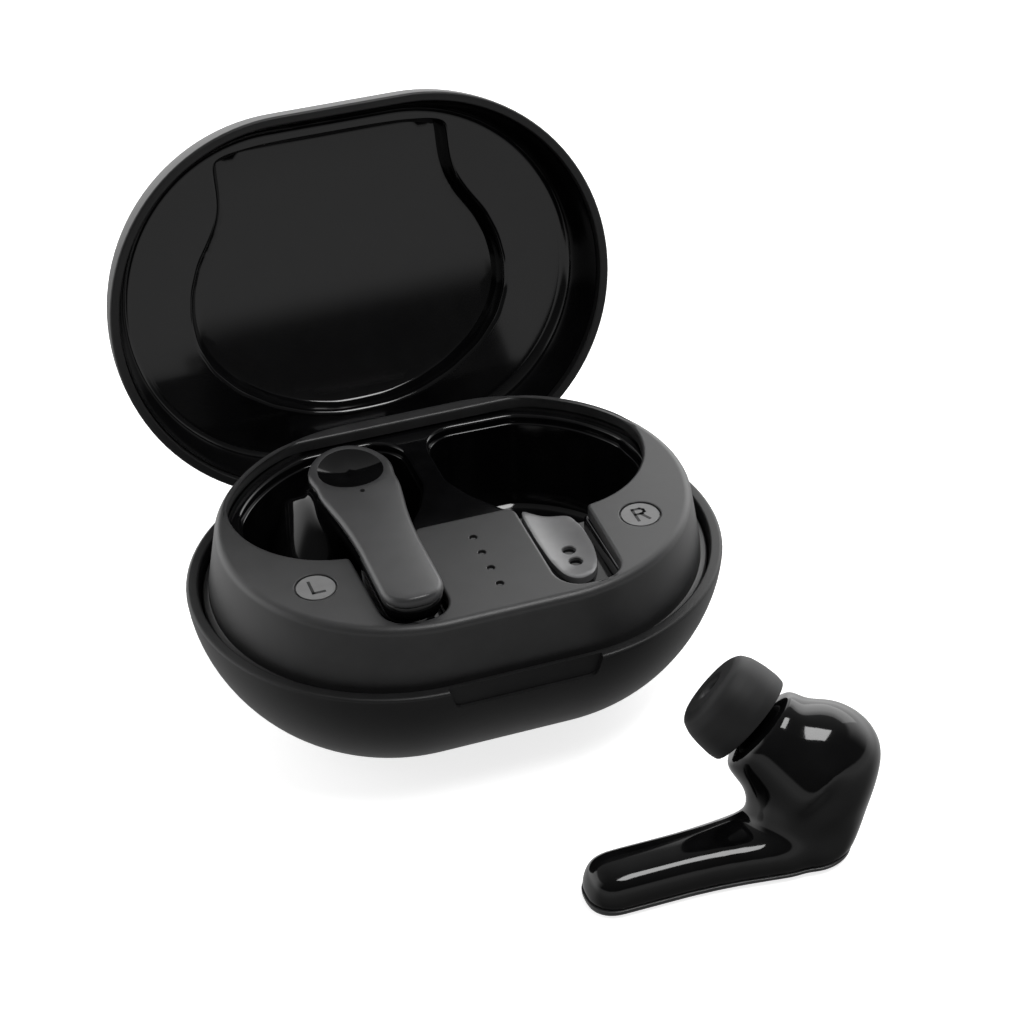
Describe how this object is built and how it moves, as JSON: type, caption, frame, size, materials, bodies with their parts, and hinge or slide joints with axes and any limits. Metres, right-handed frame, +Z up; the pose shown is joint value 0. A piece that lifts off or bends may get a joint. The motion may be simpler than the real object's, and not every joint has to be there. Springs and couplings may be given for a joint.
{
  "type": "wireless earbuds case",
  "caption": "Pebble-shaped charging case on a rear hinge with glossy wells, shown open with one stem earbud seated and the other lying in front.",
  "frame": {"origin": "centre of the case's flat base, on the surface it stands on", "axes": "+X to the right-hand earbud's side, +Y to the hinge at the back, +Z up"},
  "size_m": [0.0658, 0.0957, 0.056],
  "materials": {
    "case_shell": "matt soft-touch black",
    "deck_satin": "satin dark grey",
    "gloss_liner": "high gloss black",
    "contact_plate": "gloss light grey",
    "bud_satin": "satin metallic grey",
    "bud_gloss": "gloss black",
    "silicone": "matt black silicone",
    "gold_contact": "gold plated",
    "circuit_board": "green solder mask",
    "cell_wrap": "foil pouch",
    "clear_plastic": "clear moulded light pipe",
    "mark_plastic": "matt grey inlay",
    "hinge_plastic": "black moulded hinge",
    "steel": "plain steel"
  },
  "bodies": {
    "case": {"lower_shell": "case_shell", "deck": "deck_satin", "cradle_tray": "gloss_liner", "usb_c_receptacle": "steel", "main_board": "circuit_board", "battery_cell": "cell_wrap", "contact_board": "circuit_board", "light_guide": "clear_plastic", "lid_sensor": "gloss_liner", "status_led_1": "clear_plastic", "status_led_2": "clear_plastic", "status_led_3": "clear_plastic", "status_led_4": "clear_plastic", "contact_carrier_left": "contact_plate", "contact_carrier_right": "contact_plate", "closing_magnet_left": "steel", "closing_magnet_right": "steel", "earbud_magnet_left": "steel", "earbud_magnet_right": "steel", "side_mark_left": "mark_plastic", "side_mark_right": "mark_plastic", "deck_screw_1": "steel", "deck_screw_2": "steel", "deck_screw_3": "steel", "deck_screw_4": "steel", "hinge_bracket": "hinge_plastic", "hinge_pin": "steel"},
    "lid": {"lid_shell": "case_shell", "lid_liner": "gloss_liner", "lid_hinge_arms": "hinge_plastic", "lid_magnet_left": "steel", "lid_magnet_right": "steel"},
    "left_earbud": {"left_earbud_outer_shell": "bud_satin", "left_earbud_inner_shell": "bud_gloss", "left_earbud_ear_tip": "silicone", "left_earbud_nozzle_mesh": "steel", "left_earbud_driver": "steel", "left_earbud_cell": "cell_wrap", "left_earbud_board": "circuit_board", "left_earbud_magnet": "steel", "left_earbud_contact_front": "gold_contact", "left_earbud_contact_rear": "gold_contact"},
    "right_earbud": {"right_earbud_outer_shell": "bud_satin", "right_earbud_inner_shell": "bud_gloss", "right_earbud_ear_tip": "silicone", "right_earbud_nozzle_mesh": "steel", "right_earbud_driver": "steel", "right_earbud_cell": "cell_wrap", "right_earbud_board": "circuit_board", "right_earbud_magnet": "steel", "right_earbud_contact_front": "gold_contact", "right_earbud_contact_rear": "gold_contact"},
    "contact_pin_left_front": {"contact_pin_left_front": "gold_contact"},
    "contact_pin_left_rear": {"contact_pin_left_rear": "gold_contact"},
    "contact_pin_right_front": {"contact_pin_right_front": "gold_contact"},
    "contact_pin_right_rear": {"contact_pin_right_rear": "gold_contact"}
  },
  "joints": [
    {"name": "lid_hinge", "type": "hinge", "parent": "case", "child": "lid", "pos_m": [0, 0.0221, 0.0137], "axis": [1, 0, 0], "range_deg": [0, 106.4]},
    {"name": "left_earbud_lift", "type": "slide", "parent": "case", "child": "left_earbud", "axis": [0, 0, 1], "range_m": [0, 0.03]},
    {"name": "right_earbud_lift", "type": "slide", "parent": "case", "child": "right_earbud", "axis": [0, 0, 1], "range_m": [0, 0.03]},
    {"name": "contact_pin_left_front_press", "type": "slide", "parent": "case", "child": "contact_pin_left_front", "axis": [0, 0, 1], "range_m": [-0.0006, 0], "stiffness_N_per_m": 500, "springref_m": 0.0004},
    {"name": "contact_pin_left_rear_press", "type": "slide", "parent": "case", "child": "contact_pin_left_rear", "axis": [0, 0, 1], "range_m": [-0.0006, 0], "stiffness_N_per_m": 500, "springref_m": 0.0004},
    {"name": "contact_pin_right_front_press", "type": "slide", "parent": "case", "child": "contact_pin_right_front", "axis": [0, 0, 1], "range_m": [-0.0006, 0], "stiffness_N_per_m": 500, "springref_m": 0.0004},
    {"name": "contact_pin_right_rear_press", "type": "slide", "parent": "case", "child": "contact_pin_right_rear", "axis": [0, 0, 1], "range_m": [-0.0006, 0], "stiffness_N_per_m": 500, "springref_m": 0.0004}
  ]
}
